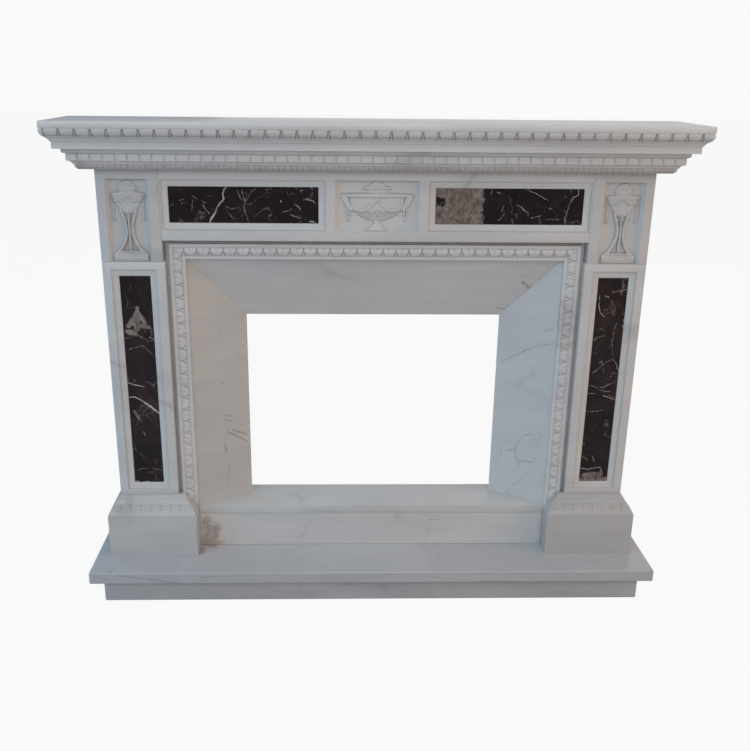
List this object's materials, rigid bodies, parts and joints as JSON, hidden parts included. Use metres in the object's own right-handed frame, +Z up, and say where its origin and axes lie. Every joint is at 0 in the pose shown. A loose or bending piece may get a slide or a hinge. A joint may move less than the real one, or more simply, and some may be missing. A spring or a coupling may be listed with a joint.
{
  "type": "fireplace mantel",
  "caption": "White marble fireplace mantel with dark inlaid panels, urn and tripod reliefs, carved shelf and a raised hearth.",
  "frame": {"origin": "on the floor, at the middle of the outline in width and depth", "axes": "+Z up, -Y the front that faces the room, +Y the wall, +X to the right seen from the front"},
  "size_m": [1.524, 0.295, 1.213],
  "materials": {
    "white_marble": "honed white marble with faint grey veins",
    "grey_marble": "honed pale grey marble with grey veins",
    "dark_marble": "polished near-black marble with white and beige veins"
  },
  "bodies": {
    "root": {"hearth_base": "grey_marble", "hearth_slab": "grey_marble", "hearth_riser": "white_marble", "raised_hearth": "white_marble", "plinth_left": "white_marble", "plinth_right": "white_marble", "leg_left": "white_marble", "leg_right": "white_marble", "leg_inlay_left": "dark_marble", "leg_inlay_right": "dark_marble", "corner_block_left": "white_marble", "corner_block_right": "white_marble", "frieze": "white_marble", "frieze_inlay_left": "dark_marble", "frieze_inlay_right": "dark_marble", "inner_moulding_left": "white_marble", "inner_moulding_right": "white_marble", "inner_moulding_top": "white_marble", "slip_left": "white_marble", "slip_right": "white_marble", "slip_top": "white_marble", "bed_moulding": "white_marble", "shelf": "white_marble"}
  },
  "joints": []
}
